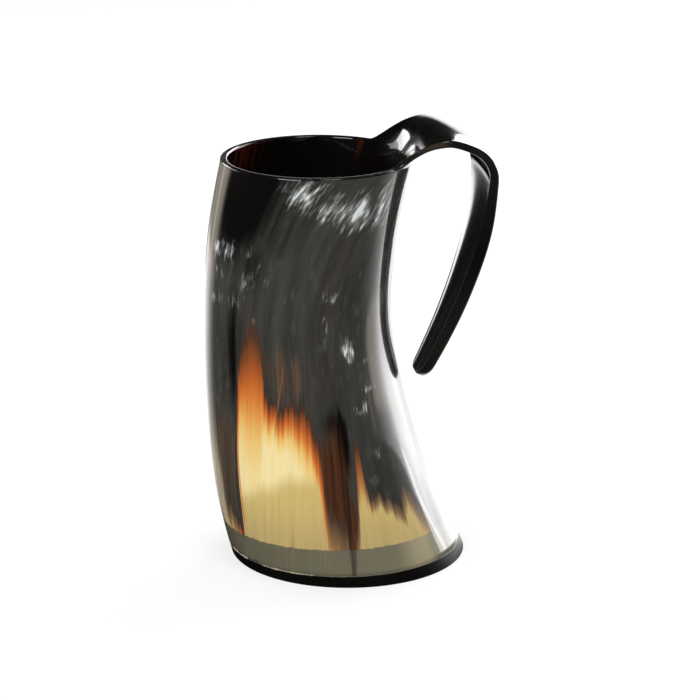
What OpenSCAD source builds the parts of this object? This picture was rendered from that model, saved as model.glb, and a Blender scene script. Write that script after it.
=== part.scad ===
// A drinking mug made from one length of cow horn, stood on its wide end.
// The horn wall runs on at the rim into a strap that is bent over and down as the handle.
// Origin: middle of the foot's underside. +Z up, +X towards the handle.

/* [Horn] */
// Height of the rim above the table
mug_height = 150; // [120:1:190]
// Outside radius of the foot
foot_radius = 43.4; // [38:0.2:50]
// Outside radius of the narrowest girth
waist_radius = 34.2; // [30:0.2:38]
// Outside radius of the mouth
mouth_radius = 35.2; // [31:0.2:40]
// How far the horn bows away from the handle
bow = 18.4; // [6:0.2:24]
// Wall of the horn at the foot
foot_wall = 3.6; // [2.6:0.1:5]
// Wall of the horn at the rim
rim_wall = 2.8; // [2.2:0.1:4]
// Rounding of every cut edge of the horn
edge_round = 0.9; // [0.4:0.1:1.2]

/* [Handle] */
// How far the strap stands out beyond the rim, along its underside
handle_reach = 24.2; // [16:0.1:32]
// How far the strap's underside rises above the rim
handle_rise = 8.3; // [4:0.1:12]
// How far the strap's tip hangs below the rim
handle_drop = 81; // [60:0.2:100]
// Width of the strap at its root, without the flare
root_width = 44.1; // [34:0.2:48]
// Width of the strap near its tip
tip_width = 14.7; // [11:0.1:22]
// Thickness of the strap at its thickest, low on its hanging limb
strap_thickness = 5; // [4:0.1:5.4]
// Length over which the strap turns out of the horn's wall and loses its round
flatten_length = 13.3; // [9:0.1:18]
// Widening of each strap edge where it flows into the rim
root_flare = 3.9; // [2.5:0.1:4.5]
// Length of that flare along the strap
flare_length = 5.6; // [4:0.1:9]
// Corner rounding of the tip
tip_round = 5.2; // [3:0.2:5.4]

/* [Base] */
// Thickness of the black base plate
plate_thickness = 4.2; // [3:0.1:6]
// Softened edge at the underside of the base plate
plate_edge = 0.5; // [0.2:0.1:0.8]
// Thickness of the glue between the base plate and the horn
glue_thickness = 0.3; // [0.1:0.05:0.6]
// How far the glue stays back from the outside
glue_inset = 0.25; // [0.1:0.05:0.6]
// Thickness of the plug inside the foot
plug_thickness = 8.7; // [6:0.1:14]
// Gap round the plug
plug_clearance = 0.1; // [0.05:0.01:0.2]
// Height and width of the resin bead that seals the plug
bead_size = 2.4; // [1.6:0.1:3.6]

/* [Hidden] */

horn_colour = "#3b342d";
plate_colour = "#141312";
glue_colour = "#d8cfb8";
plug_colour = "#4a4637";
bead_colour = "#b08a4a";

// Counts of faces
round_steps = 64;
strap_steps = 18;
wall_rows = 20;
root_rows = 9;
path_rows = 30;
tip_rows = 4;
plug_rows = 3;
bead_steps = 4;
// How strongly the strap's rows crowd towards the rim: 1 is evenly spaced
root_crowding = 1.6;
path_crowding = 1.25;

// Heights from the table up
plate_top = plate_thickness;
horn_foot = plate_top + glue_thickness;
plug_top = horn_foot + plug_thickness;
wall_top = mug_height - edge_round;

// Places up the horn, evenly spaced from table to rim
bow_shares = [0, 0.52, 0.85, 1, 0.9, 0.585];
foot_flare_shares = [1, 0.66, 0.27, 0, 0, 0];
mouth_flare_shares = [0, 0, 0, 0, 0.26, 1];

// The strap's underside, root to tip: shares of the reach, the rise and the drop
strap_path_shares = [
    [0, 0, 0],
    [0.206, 0.883, 0],
    [0.445, 1, 0],
    [0.826, 0.465, 0],
    [1, 0, 0.033],
    [1, 0, 0.125],
    [0.883, 0, 0.32],
    [0.665, 0, 0.533],
    [0.389, 0, 0.756],
    [0.022, 0, 1]
];
// The strap's width, evenly spaced from root to tip: 1 is the root's width, 0 the tip's
strap_width_shares = [1, 0.92, 0.46, 0.29, 0.13, 0];
// The strap's thickness, evenly spaced from root to tip: 0 is the rim's wall, 1 the thickest
strap_wall_shares = [0, 0.11, 0.9, 1, 0.39];
// The share of the horn's round that the strap keeps, evenly spaced from root to tip.
// Above 0 the top face is hollow, below 0 it is crowned.
dish_shares = [-0.13, -0.13, 0.4, 0.8, 0.8];
// The flattest section of the strap, as a share of the horn's round
flat_share = 0.01;
// Rounded edge of the sheet: share of the wall, share of the rounding
edge_profile_shares = [[0.08, 0.55], [0.3, 1], [0.7, 1], [0.92, 0.55]];

// A smooth curve through evenly numbered values or points (Catmull-Rom)
function carried(list, i) =
    i < 0 ? 3 * list[0] - 3 * list[1] + list[2]
    : i >= len(list) ? 3 * list[len(list) - 1] - 3 * list[len(list) - 2] + list[len(list) - 3]
    : list[i];
function curve(list, place) =
    let (
        spans = len(list) - 1,
        along = max(0, min(1, place)) * spans,
        i = min(floor(along), spans - 1),
        f = along - i,
        a = carried(list, i - 1),
        b = list[i],
        c = list[i + 1],
        d = carried(list, i + 2)
    )
    b + f / 2 * (c - a + f * (2 * a - 5 * b + 4 * c - d + f * (3 * (b - c) + d - a)));

// From 0 to 1 with a soft start and a softer end
function ease(share) = let (left = 1 - max(0, min(1, share))) 1 - pow(left, 3) * (4 - 3 * left);
function unit(vector) = vector / norm(vector);

// Outline of the horn at a height
function horn_middle(z) = -bow * curve(bow_shares, z / mug_height);
function horn_radius(z) =
    waist_radius
    + (foot_radius - waist_radius) * curve(foot_flare_shares, z / mug_height)
    + (mouth_radius - waist_radius) * curve(mouth_flare_shares, z / mug_height);
function horn_wall(z) = foot_wall + (rim_wall - foot_wall) * z / mug_height;
function horn_bore(z) = horn_radius(z) - horn_wall(z);
function ring_point(z, radius, turn) =
    [horn_middle(z) + radius * cos(turn), radius * sin(turn), z];
function ring(z, radius) =
    [for (i = [0 : round_steps - 1]) ring_point(z, radius, ring_turn(i))];

// The first turns span the strap's root, the rest go round the back
root_half_width = root_width / 2 + root_flare;
root_turn = asin(root_half_width / horn_radius(wall_top));
function ring_turn(i) =
    i <= strap_steps
        ? root_turn * (2 * i / strap_steps - 1)
        : root_turn + (360 - 2 * root_turn) * (i - strap_steps) / (round_steps - strap_steps);

// Path of the strap's underside in the XZ plane
strap_root = [horn_middle(wall_top) + horn_radius(wall_top), wall_top];
strap_path = [
    for (share = strap_path_shares)
        strap_root + [handle_reach * share[0], handle_rise * share[1] - handle_drop * share[2]]
];
path_pieces = 120;
path_places = [for (i = [0 : path_pieces]) i / path_pieces];
path_points = [for (place = path_places) curve(strap_path, place)];
function running_length(points, i = 0, total = 0, list = []) =
    i == len(points)
        ? list
        : let (step = i == 0 ? 0 : norm(points[i] - points[i - 1]))
            running_length(points, i + 1, total + step, concat(list, [total + step]));
path_lengths = running_length(path_points);
strap_length = path_lengths[path_pieces];
function path_place(length) = lookup(length, [for (i = [0 : path_pieces]) [path_lengths[i], path_places[i]]]);

// Size and direction of the strap at a length along it
function strap_half_width(length) =
    (tip_width + (root_width - tip_width) * curve(strap_width_shares, length / strap_length)) / 2;
function flare_at(length) =
    let (left = max(0, 1 - length / flare_length)) root_flare * (1 - sqrt(1 - left * left));
function tip_loss(length) =
    let (left = max(0, tip_round - (strap_length - length)))
        tip_round - sqrt(max(0, tip_round * tip_round - left * left));
function cut_half_width(length) = strap_half_width(length) + flare_at(length) - tip_loss(length);
function strap_wall(length) =
    let (root_wall = horn_wall(wall_top))
        root_wall + (strap_thickness - root_wall) * curve(strap_wall_shares, length / strap_length);
function strap_bend(length) =
    let (
        dish = curve(dish_shares, length / strap_length),
        kept = 1 - (1 - dish) * ease(length / flatten_length)
    )
        horn_radius(wall_top) / (abs(kept) < flat_share ? flat_share : kept);
function path_heading(length) =
    let (
        place = path_place(length),
        ahead = curve(strap_path, place + 1 / path_pieces),
        behind = curve(strap_path, place - 1 / path_pieces)
    )
        unit(ahead - behind);
function strap_up(length) =
    let (
        heading = path_heading(length),
        turned = ease(length / flatten_length)
    )
        unit((1 - turned) * [-1, 0] + turned * [-heading[1], heading[0]]);

// A point on the strap: across runs from -1 to 1, depth from the underside to the top face
function strap_point(length, across, depth) =
    let (
        bend = strap_bend(length),
        swing = asin(cut_half_width(length) / bend) * across,
        reach = bend - depth,
        spine = curve(strap_path, path_place(length)) + strap_up(length) * (bend - reach * cos(swing))
    )
        [spine[0], reach * sin(swing), spine[1]];
function strap_row(length, depth) =
    [for (i = [0 : strap_steps]) strap_point(length, 2 * i / strap_steps - 1, depth)];

// Where the rows of the strap lie, closer together at the root and at the tip
root_end = flatten_length;
tip_start = strap_length - tip_round;
strap_rows = concat(
    [for (i = [1 : root_rows]) root_end * pow(i / root_rows, root_crowding)],
    [for (i = [1 : path_rows]) root_end + (tip_start - root_end) * pow(i / path_rows, path_crowding)],
    [for (i = [1 : tip_rows]) tip_start + tip_round * sin(90 * i / tip_rows)]
);

// Faces of a band of quads between two rows of point numbers
function band(low, high, closed) =
    [
        for (i = [0 : len(low) - (closed ? 1 : 2)])
            let (j = (i + 1) % len(low))
                each [[low[i], high[i], high[j]], [low[i], high[j], low[j]]]
    ];
function numbers(first, count) = [for (i = [0 : count - 1]) first + i];
function turned_over(faces) = [for (face = faces) [face[0], face[2], face[1]]];

// A closed solid through a stack of rings, each of round_steps points
module loft(rings) {
    last = len(rings) - 1;
    sides = [
        for (k = [0 : last - 1])
            each band(
                numbers(k * round_steps, round_steps),
                numbers((k + 1) * round_steps, round_steps),
                true
            )
    ];
    floor_face = numbers(0, round_steps);
    top_face = [for (i = [round_steps - 1 : -1 : 0]) last * round_steps + i];
    polyhedron([for (points = rings) each points], concat(sides, [floor_face], [top_face]), convexity = 4);
}

// A closed ring-shaped solid: the rings go once round its section
module ring_loft(rings) {
    count = len(rings);
    polyhedron(
        [for (points = rings) each points],
        [
            for (k = [0 : count - 1])
                each band(
                    numbers(k * round_steps, round_steps),
                    numbers((k + 1) % count * round_steps, round_steps),
                    true
                )
        ],
        convexity = 6
    );
}

module horn_body() {
    heights = [for (i = [0 : wall_rows]) horn_foot + (wall_top - horn_foot) * i / wall_rows];
    outside = [for (z = heights) each ring(z, horn_radius(z))];
    inside = [for (z = heights) each ring(z, horn_bore(z))];
    under = [for (length = strap_rows) each strap_row(length, 0)];
    over = [for (length = strap_rows) each strap_row(length, strap_wall(length))];
    outside_first = 0;
    inside_first = len(outside);
    under_first = inside_first + len(inside);
    over_first = under_first + len(under);
    lip_first = over_first + len(over);
    across = strap_steps + 1;
    rows = len(strap_rows);
    rim_first = wall_rows * round_steps;

    // Point numbers of the strap's rows, the first one on the rim
    function row_numbers(first, rim, k) =
        k == 0 ? numbers(rim, across) : numbers(first + (k - 1) * across, across);

    // The cut edge of the sheet: up one side of the strap, over its tip, down the other, round the rim
    function edge_numbers(first, rim) = concat(
        [for (k = [0 : rows - 1]) row_numbers(first, rim, k)[0]],
        row_numbers(first, rim, rows),
        [for (k = [rows - 1 : -1 : 0]) row_numbers(first, rim, k)[strap_steps]],
        [for (i = [across : round_steps - 1]) rim + i]
    );
    sheet = concat(outside, inside, under, over);
    low_edge = edge_numbers(under_first, outside_first + rim_first);
    high_edge = edge_numbers(over_first, inside_first + rim_first);
    edge_count = len(low_edge);
    edge_points = [
        for (share = edge_profile_shares)
            for (i = [0 : edge_count - 1])
                let (
                    low = sheet[low_edge[i]],
                    through = sheet[high_edge[i]] - low,
                    before = sheet[low_edge[(i + edge_count - 1) % edge_count]],
                    after = sheet[low_edge[(i + 1) % edge_count]],
                    outward = unit(cross(after - before, through))
                )
                    low + share[0] * through + share[1] * edge_round * outward
    ];
    lips = len(edge_profile_shares);
    function lip_numbers(k) =
        k == 0 ? low_edge : k > lips ? high_edge : numbers(lip_first + (k - 1) * edge_count, edge_count);

    function wall_faces(first) = [
        for (k = [0 : wall_rows - 1])
            each band(
                numbers(first + k * round_steps, round_steps),
                numbers(first + (k + 1) * round_steps, round_steps),
                true
            )
    ];
    function strap_faces(first, rim) = [
        for (k = [0 : rows - 1])
            each band(row_numbers(first, rim, k), row_numbers(first, rim, k + 1), false)
    ];
    faces = concat(
        wall_faces(outside_first),
        turned_over(wall_faces(inside_first)),
        turned_over(
            band(numbers(outside_first, round_steps), numbers(inside_first, round_steps), true)
        ),
        strap_faces(under_first, outside_first + rim_first),
        turned_over(strap_faces(over_first, inside_first + rim_first)),
        [for (k = [0 : lips]) each band(lip_numbers(k), lip_numbers(k + 1), true)]
    );
    color(horn_colour) polyhedron(concat(sheet, edge_points), faces, convexity = 12);
}

// Ground flush with the horn, so its edge carries the horn's outline down to the table
module base_plate() {
    color(plate_colour)
        loft([
            ring(0, horn_radius(0) - plate_edge),
            ring(plate_edge, horn_radius(plate_edge)),
            ring(plate_top, horn_radius(plate_top))
        ]);
}

module glue_line() {
    color(glue_colour)
        loft([for (z = [plate_top, horn_foot]) ring(z, horn_radius(z) - glue_inset)]);
}

module base_plug() {
    heights = [for (i = [0 : plug_rows]) horn_foot + plug_thickness * i / plug_rows];
    color(plug_colour)
        loft([for (z = heights) ring(z, horn_bore(z) - plug_clearance)]);
}

// A hollow fillet in the corner between the plug and the wall
module seal_bead() {
    base_radius = horn_bore(plug_top) - plug_clearance;
    hollow = [
        for (i = [0 : bead_steps])
            let (turn = 90 * i / bead_steps, z = plug_top + bead_size * (1 - cos(turn)))
                ring(z, horn_bore(z) - plug_clearance - bead_size * (1 - sin(turn)))
    ];
    color(bead_colour)
        ring_loft(concat(
            [ring(plug_top, base_radius)],
            [ring(plug_top + bead_size / 2, horn_bore(plug_top + bead_size / 2) - plug_clearance)],
            [for (i = [bead_steps : -1 : 0]) hollow[i]]
        ));
}

horn_body();
base_plate();
glue_line();
base_plug();
seal_bead();
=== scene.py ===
"""Looks of the horn mug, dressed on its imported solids.

The horn and its strap handle are one sheet, so they are lofted here as one mesh, with the
same named sizes as the solid. The plate, the resin bead and the squeezed-out glue follow
the ring of the foot and are made by Geometry Nodes.
"""
import math

import bpy
from mathutils import Matrix, Vector


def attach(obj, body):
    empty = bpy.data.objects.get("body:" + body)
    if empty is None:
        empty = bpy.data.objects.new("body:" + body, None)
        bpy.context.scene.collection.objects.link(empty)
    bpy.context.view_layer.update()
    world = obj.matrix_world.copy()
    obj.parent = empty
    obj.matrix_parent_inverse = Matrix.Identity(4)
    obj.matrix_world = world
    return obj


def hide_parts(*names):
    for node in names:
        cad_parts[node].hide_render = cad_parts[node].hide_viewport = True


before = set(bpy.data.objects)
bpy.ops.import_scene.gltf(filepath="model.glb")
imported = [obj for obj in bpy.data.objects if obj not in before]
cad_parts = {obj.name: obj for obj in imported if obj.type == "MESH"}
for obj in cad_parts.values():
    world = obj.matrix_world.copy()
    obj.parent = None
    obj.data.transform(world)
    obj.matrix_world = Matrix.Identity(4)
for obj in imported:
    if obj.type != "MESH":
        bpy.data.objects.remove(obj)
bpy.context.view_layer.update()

MM = 0.001
scene = bpy.context.scene

# Named sizes, in millimetres, as the solids have them
MUG_HEIGHT = 150.0
FOOT_RADIUS = 43.4
WAIST_RADIUS = 34.2
MOUTH_RADIUS = 35.2
BOW = 18.4
FOOT_WALL = 3.6
RIM_WALL = 2.8
EDGE_ROUND = 0.9
HANDLE_REACH = 24.2
HANDLE_RISE = 8.3
HANDLE_DROP = 81.0
ROOT_WIDTH = 44.1
TIP_WIDTH = 14.7
STRAP_THICKNESS = 5.0
FLATTEN_LENGTH = 13.3
ROOT_FLARE = 3.9
FLARE_LENGTH = 5.6
TIP_ROUND = 5.2
PLATE_THICKNESS = 4.2
PLATE_EDGE = 0.5
GLUE_THICKNESS = 0.3
PLUG_THICKNESS = 8.7
PLUG_CLEARANCE = 0.1
BEAD_SIZE = 2.4

HORN_FOOT = PLATE_THICKNESS + GLUE_THICKNESS
PLUG_TOP = HORN_FOOT + PLUG_THICKNESS
WALL_TOP = MUG_HEIGHT - EDGE_ROUND

BOW_SHARES = (0, 0.52, 0.85, 1, 0.9, 0.585)
FOOT_FLARE_SHARES = (1, 0.66, 0.27, 0, 0, 0)
MOUTH_FLARE_SHARES = (0, 0, 0, 0, 0.26, 1)
STRAP_PATH_SHARES = (
    (0, 0, 0), (0.206, 0.883, 0), (0.445, 1, 0), (0.826, 0.465, 0), (1, 0, 0.033), (1, 0, 0.125),
    (0.883, 0, 0.32), (0.665, 0, 0.533), (0.389, 0, 0.756), (0.022, 0, 1),
)
STRAP_WIDTH_SHARES = (1, 0.92, 0.46, 0.29, 0.13, 0)
STRAP_WALL_SHARES = (0, 0.11, 0.9, 1, 0.39)
DISH_SHARES = (-0.13, -0.13, 0.4, 0.8, 0.8)
FLAT_SHARE = 0.01

# Counts of faces on the visible pieces, how rows crowd towards an edge, and the lip's fullness
ACROSS = 48
AROUND = 192
WALL_ROWS = 96
ROOT_ROWS = 26
PATH_ROWS = 92
TIP_ROWS = 10
LIP_ROWS = 9
ROOT_CROWDING = 1.6
PATH_CROWDING = 1.15
LIP_FULLNESS = 2.6
PLATE_ROWS = 24
PLATE_RINGS = 8
PLATE_CROWDING = 1.4
BEAD_SECTION_STEPS = 25


# Shape of the horn

def clamp(value, low=0.0, high=1.0):
    return max(low, min(high, value))


def curve(values, place):
    """A smooth curve through evenly spaced values, as the solid has it."""
    spans = len(values) - 1
    along = clamp(place) * spans
    i = min(int(along), spans - 1)
    share = along - i

    def carried(k):
        if k < 0:
            return 3 * values[0] - 3 * values[1] + values[2]
        if k > spans:
            return 3 * values[-1] - 3 * values[-2] + values[-3]
        return values[k]

    a, b, c, d = carried(i - 1), values[i], values[i + 1], carried(i + 2)
    return b + share / 2 * (c - a + share * (2 * a - 5 * b + 4 * c - d + share * (3 * (b - c) + d - a)))


def curve_point(points, place):
    return Vector([curve([p[k] for p in points], place) for k in range(len(points[0]))])


def ease(share):
    left = 1 - clamp(share)
    return 1 - left ** 3 * (4 - 3 * left)


def horn_middle(z):
    return -BOW * curve(BOW_SHARES, z / MUG_HEIGHT)


def horn_radius(z):
    return (
        WAIST_RADIUS
        + (FOOT_RADIUS - WAIST_RADIUS) * curve(FOOT_FLARE_SHARES, z / MUG_HEIGHT)
        + (MOUTH_RADIUS - WAIST_RADIUS) * curve(MOUTH_FLARE_SHARES, z / MUG_HEIGHT)
    )


def horn_wall(z):
    return FOOT_WALL + (RIM_WALL - FOOT_WALL) * z / MUG_HEIGHT


ROOT_TURN = math.asin((ROOT_WIDTH / 2 + ROOT_FLARE) / horn_radius(WALL_TOP))


def ring_turn(i):
    """Turn about the horn from the handle's side: the first ACROSS steps span the strap's root."""
    if i <= ACROSS:
        return ROOT_TURN * (2 * i / ACROSS - 1)
    return ROOT_TURN + (2 * math.pi - 2 * ROOT_TURN) * (i - ACROSS) / (AROUND - ACROSS)


STRAP_ROOT = (horn_middle(WALL_TOP) + horn_radius(WALL_TOP), WALL_TOP)
STRAP_PATH = [
    (STRAP_ROOT[0] + HANDLE_REACH * out, STRAP_ROOT[1] + HANDLE_RISE * up - HANDLE_DROP * down)
    for out, up, down in STRAP_PATH_SHARES
]
PATH_PIECES = 360
DIRECTION_STEP = 1 / 120
path_lengths = [0.0]
for k in range(PATH_PIECES):
    step = curve_point(STRAP_PATH, (k + 1) / PATH_PIECES) - curve_point(STRAP_PATH, k / PATH_PIECES)
    path_lengths.append(path_lengths[-1] + step.length)
STRAP_LENGTH = path_lengths[-1]


def path_place(length):
    length = clamp(length, 0, STRAP_LENGTH)
    k = 0
    while k < PATH_PIECES - 1 and path_lengths[k + 1] < length:
        k += 1
    return (k + (length - path_lengths[k]) / (path_lengths[k + 1] - path_lengths[k])) / PATH_PIECES


def strap_section(length):
    """Underside point, up direction, half width, bend radius and wall of the strap at a length."""
    share = length / STRAP_LENGTH
    place = path_place(length)
    ahead = curve_point(STRAP_PATH, place + DIRECTION_STEP) - curve_point(STRAP_PATH, place - DIRECTION_STEP)
    ahead.normalize()
    turned = ease(length / FLATTEN_LENGTH)
    up = Vector((turned - 1 - turned * ahead[1], turned * ahead[0])).normalized()
    left = max(0.0, 1 - length / FLARE_LENGTH)
    flare = ROOT_FLARE * (1 - math.sqrt(1 - left * left))
    tip_left = clamp(TIP_ROUND - (STRAP_LENGTH - length), 0, TIP_ROUND)
    tip_loss = TIP_ROUND - math.sqrt(TIP_ROUND ** 2 - tip_left ** 2)
    half = (TIP_WIDTH + (ROOT_WIDTH - TIP_WIDTH) * curve(STRAP_WIDTH_SHARES, share)) / 2 + flare - tip_loss
    kept = 1 - (1 - curve(DISH_SHARES, share)) * turned
    if abs(kept) < FLAT_SHARE:
        kept = FLAT_SHARE
    bend = horn_radius(WALL_TOP) / kept
    root_wall = horn_wall(WALL_TOP)
    wall = root_wall + (STRAP_THICKNESS - root_wall) * curve(STRAP_WALL_SHARES, share)
    return curve_point(STRAP_PATH, place), up, half, bend, wall


def strap_rows():
    tip_start = STRAP_LENGTH - TIP_ROUND
    rows = [FLATTEN_LENGTH * (i / ROOT_ROWS) ** ROOT_CROWDING for i in range(1, ROOT_ROWS + 1)]
    rows += [
        FLATTEN_LENGTH + (tip_start - FLATTEN_LENGTH) * (i / PATH_ROWS) ** PATH_CROWDING
        for i in range(1, PATH_ROWS + 1)
    ]
    rows += [tip_start + TIP_ROUND * math.sin(math.pi / 2 * i / TIP_ROWS) for i in range(1, TIP_ROWS + 1)]
    return rows


# How the grain runs: the turn, in degrees from the front, that a fibre has at half height
LOW_LEAN_BELOW = 75
HIGH_LEAN_ABOVE = 85
HIGH_LEAN = 0.0073
LOW_LEAN_SIDE = -40
HIGH_LEAN_SIDE = 40


def facing(front_turn, side):
    """1 at a side of the horn, falling to 0 on the opposite side."""
    return (0.5 + 0.5 * math.cos(math.radians(front_turn - side))) ** 2


def fibre_turn(front_turn, z):
    """The fibres lean: away from the handle in the flared foot, towards it under the rim."""
    low = high = 0.0
    if z < LOW_LEAN_BELOW:
        swing = math.degrees((horn_middle(LOW_LEAN_BELOW) - horn_middle(z)) / horn_radius(z))
        low = swing * facing(front_turn, LOW_LEAN_SIDE)
    if z > HIGH_LEAN_ABOVE:
        rise = min(z, MUG_HEIGHT) - HIGH_LEAN_ABOVE
        high = HIGH_LEAN * rise * rise * facing(front_turn, HIGH_LEAN_SIDE)
    return front_turn - low - high


# Milky flecks inside the dark horn: turn from the front, height, half widths of both, strength
FLECKS = (
    (-13, 144, 12, 5, 0.75), (3, 139, 7, 5, 0.8), (20, 137, 9, 6, 1.0), (22, 140, 3, 3, 1.0),
    (37, 138, 7, 7, 0.75), (-63, 121, 12, 4, 0.5), (-72, 121, 4, 3, 0.75), (-36, 114, 9, 4, 0.27),
    (-68, 103, 8, 3, 0.35), (-68, 112, 6, 5, 0.35), (-50, 104, 6, 4, 0.28), (-43, 109, 5, 6, 0.32),
    (-42, 122, 2, 4, 0.4), (-35, 117, 1.5, 1.5, 0.5), (-37, 98, 1.5, 1.5, 0.8), (7, 107, 2, 2, 0.5),
    (13, 106, 2, 2, 0.5), (8, 97, 2, 5, 0.45), (23, 86, 4.5, 3.2, 0.9), (36, 81, 6, 1.5, 0.4),
    (34, 71, 6, 1.2, 0.5), (26, 65, 9, 3, 0.35), (31, 48, 3, 3, 0.4), (60, 124, 2, 3, 0.6),
    (118, 131, 14, 7, 0.8), (140, 96, 6, 5, 0.7), (172, 140, 12, 5, 0.7), (-158, 112, 9, 6, 0.7),
    (-120, 136, 13, 5, 0.7), (-104, 88, 5, 4, 0.6), (150, 66, 8, 4, 0.4),
)

# Black clouds in the charcoal horn, and brown ones: fibre turn, height, half widths of both, strength
INK = (
    (-58, 141, 20, 24, 1.0), (-37, 136, 20, 22, 0.5), (-43, 118, 13, 13, 0.55),
    (-31, 129, 9, 16, 0.55), (-51, 86, 7.5, 26, 0.7), (13, 53, 3.4, 13, 1.0), (9, 60, 8, 7, 0.6),
    (130, 120, 18, 30, 0.9), (-150, 60, 14, 26, 0.8), (175, 95, 10, 30, 0.7), (-115, 112, 9, 24, 0.7),
    (90, 60, 10, 22, 0.7),
)
RUST = (
    (-61, 40, 11, 20, 1.0), (-29.5, 82, 5, 8, 0.8), (-20, 79, 7, 9, 0.8), (-12, 77, 7, 8, 0.75),
    (-38, 91, 4, 6, 0.8), (-23, 128, 9, 14, 0.2), (7, 38, 7, 18, 1.0), (13, 24, 3.5, 12, 0.9),
    (-120, 60, 10, 14, 0.7), (110, 70, 12, 12, 0.7), (155, 55, 10, 14, 0.7), (-165, 82, 12, 14, 0.7),
)

# Painted red glow inside the mouth: turn from the front, height, half widths of both, strength
RED_GLOW_PATCHES = ((-132, 146, 11, 8, 1.0), (141, 149, 1.3, 4, 0.9))

PATCH_END = 6.0
PATCH_FALL = 0.7


def patch_share(patches, at_turn, z):
    """How strongly the soft patches cover a point of the wall."""
    total = 0.0
    for turn, height, wide, tall, strength in patches:
        away = (at_turn - turn + 180) % 360 - 180
        far = (away / wide) ** 2 + ((z - height) / tall) ** 2
        if far < PATCH_END:
            total = max(total, strength * math.exp(-PATCH_FALL * far))
    return total


def new_piece(name, points, faces):
    mesh = bpy.data.meshes.new(name)
    mesh.from_pydata([tuple(Vector(p) * MM) for p in points], [], faces)
    mesh.update()
    mesh.polygons.foreach_set("use_smooth", [True] * len(mesh.polygons))
    piece = bpy.data.objects.new(name, mesh)
    scene.collection.objects.link(piece)
    return piece


def band(low, high, closed, turned=False):
    faces = []
    for i in range(len(low) if closed else len(low) - 1):
        j = (i + 1) % len(low)
        face = (low[i], low[j], high[j], high[i])
        faces.append(face[::-1] if turned else face)
    return faces


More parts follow.
